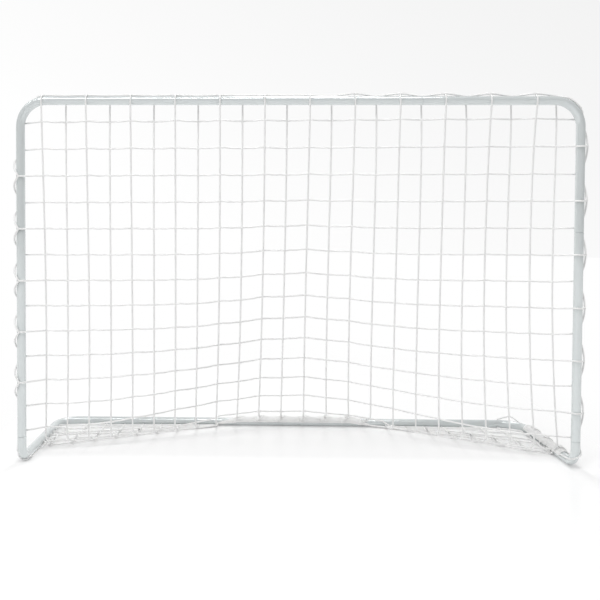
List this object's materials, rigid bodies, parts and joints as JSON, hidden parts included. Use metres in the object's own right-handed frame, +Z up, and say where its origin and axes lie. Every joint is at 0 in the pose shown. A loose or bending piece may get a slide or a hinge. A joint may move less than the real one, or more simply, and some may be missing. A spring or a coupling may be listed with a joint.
{
  "type": "portable soccer goal",
  "caption": "Small portable goal: bent steel tubes plugged together with spring buttons, and a square-mesh net threaded on the frame and drawn back to the rear base bar.",
  "frame": {"origin": "on the ground under the middle of the whole object: halfway along the width over the net's side cords, and halfway between the front and the back of the net's cords", "axes": "+X to the right along the crossbar as seen from the mouth, +Y from the mouth to the rear bar, +Z up"},
  "size_m": [1.8154, 0.513, 1.1881],
  "materials": {
    "tube": "gloss powder coat, light cool grey",
    "button": "zinc plated",
    "clip": "zinc plated spring steel",
    "net": "white polyethylene cord"
  },
  "bodies": {
    "goal": {"crossbar_tube": "tube", "top_corner_tube_left": "tube", "top_corner_tube_right": "tube", "post_tube_left": "tube", "post_tube_right": "tube", "base_arm_tube_left": "tube", "base_arm_tube_right": "tube", "rear_bar_tube": "tube", "clip_crossbar_left": "clip", "clip_crossbar_right": "clip", "clip_post_left": "clip", "clip_post_right": "clip", "clip_foot_left": "clip", "clip_foot_right": "clip", "clip_rear_left": "clip", "clip_rear_right": "clip", "net_top_edge_left": "net", "net_upper_edge_left": "net", "net_lower_edge_left": "net", "net_floor_edge_left": "net", "net_top_left": "net", "net_upper_left": "net", "net_lower_left": "net", "net_floor_left": "net", "net_top_mid_left": "net", "net_upper_mid_left": "net", "net_lower_mid_left": "net", "net_floor_mid_left": "net", "net_top_mid_right": "net", "net_upper_mid_right": "net", "net_lower_mid_right": "net", "net_floor_mid_right": "net", "net_top_right": "net", "net_upper_right": "net", "net_lower_right": "net", "net_floor_right": "net", "net_top_edge_right": "net", "net_upper_edge_right": "net", "net_lower_edge_right": "net", "net_floor_edge_right": "net"},
    "button_crossbar_left": {"button_crossbar_left": "button"},
    "button_crossbar_right": {"button_crossbar_right": "button"},
    "button_post_left": {"button_post_left": "button"},
    "button_post_right": {"button_post_right": "button"},
    "button_foot_left": {"button_foot_left": "button"},
    "button_foot_right": {"button_foot_right": "button"},
    "button_rear_left": {"button_rear_left": "button"},
    "button_rear_right": {"button_rear_right": "button"}
  },
  "joints": [
    {"name": "press_crossbar_left", "type": "slide", "parent": "goal", "child": "button_crossbar_left", "axis": [0, -1, 0], "range_m": [0, 0.0055], "stiffness_N_per_m": 900},
    {"name": "press_crossbar_right", "type": "slide", "parent": "goal", "child": "button_crossbar_right", "axis": [0, -1, 0], "range_m": [0, 0.0055], "stiffness_N_per_m": 900},
    {"name": "press_post_left", "type": "slide", "parent": "goal", "child": "button_post_left", "axis": [0, -1, 0], "range_m": [0, 0.0055], "stiffness_N_per_m": 900},
    {"name": "press_post_right", "type": "slide", "parent": "goal", "child": "button_post_right", "axis": [0, -1, 0], "range_m": [0, 0.0055], "stiffness_N_per_m": 900},
    {"name": "press_foot_left", "type": "slide", "parent": "goal", "child": "button_foot_left", "axis": [0, -1, 0], "range_m": [0, 0.0055], "stiffness_N_per_m": 900},
    {"name": "press_foot_right", "type": "slide", "parent": "goal", "child": "button_foot_right", "axis": [0, -1, 0], "range_m": [0, 0.0055], "stiffness_N_per_m": 900},
    {"name": "press_rear_left", "type": "slide", "parent": "goal", "child": "button_rear_left", "axis": [0, -0.7071, 0.7071], "range_m": [0, 0.0055], "stiffness_N_per_m": 900},
    {"name": "press_rear_right", "type": "slide", "parent": "goal", "child": "button_rear_right", "axis": [0, -0.7071, 0.7071], "range_m": [0, 0.0055], "stiffness_N_per_m": 900}
  ]
}
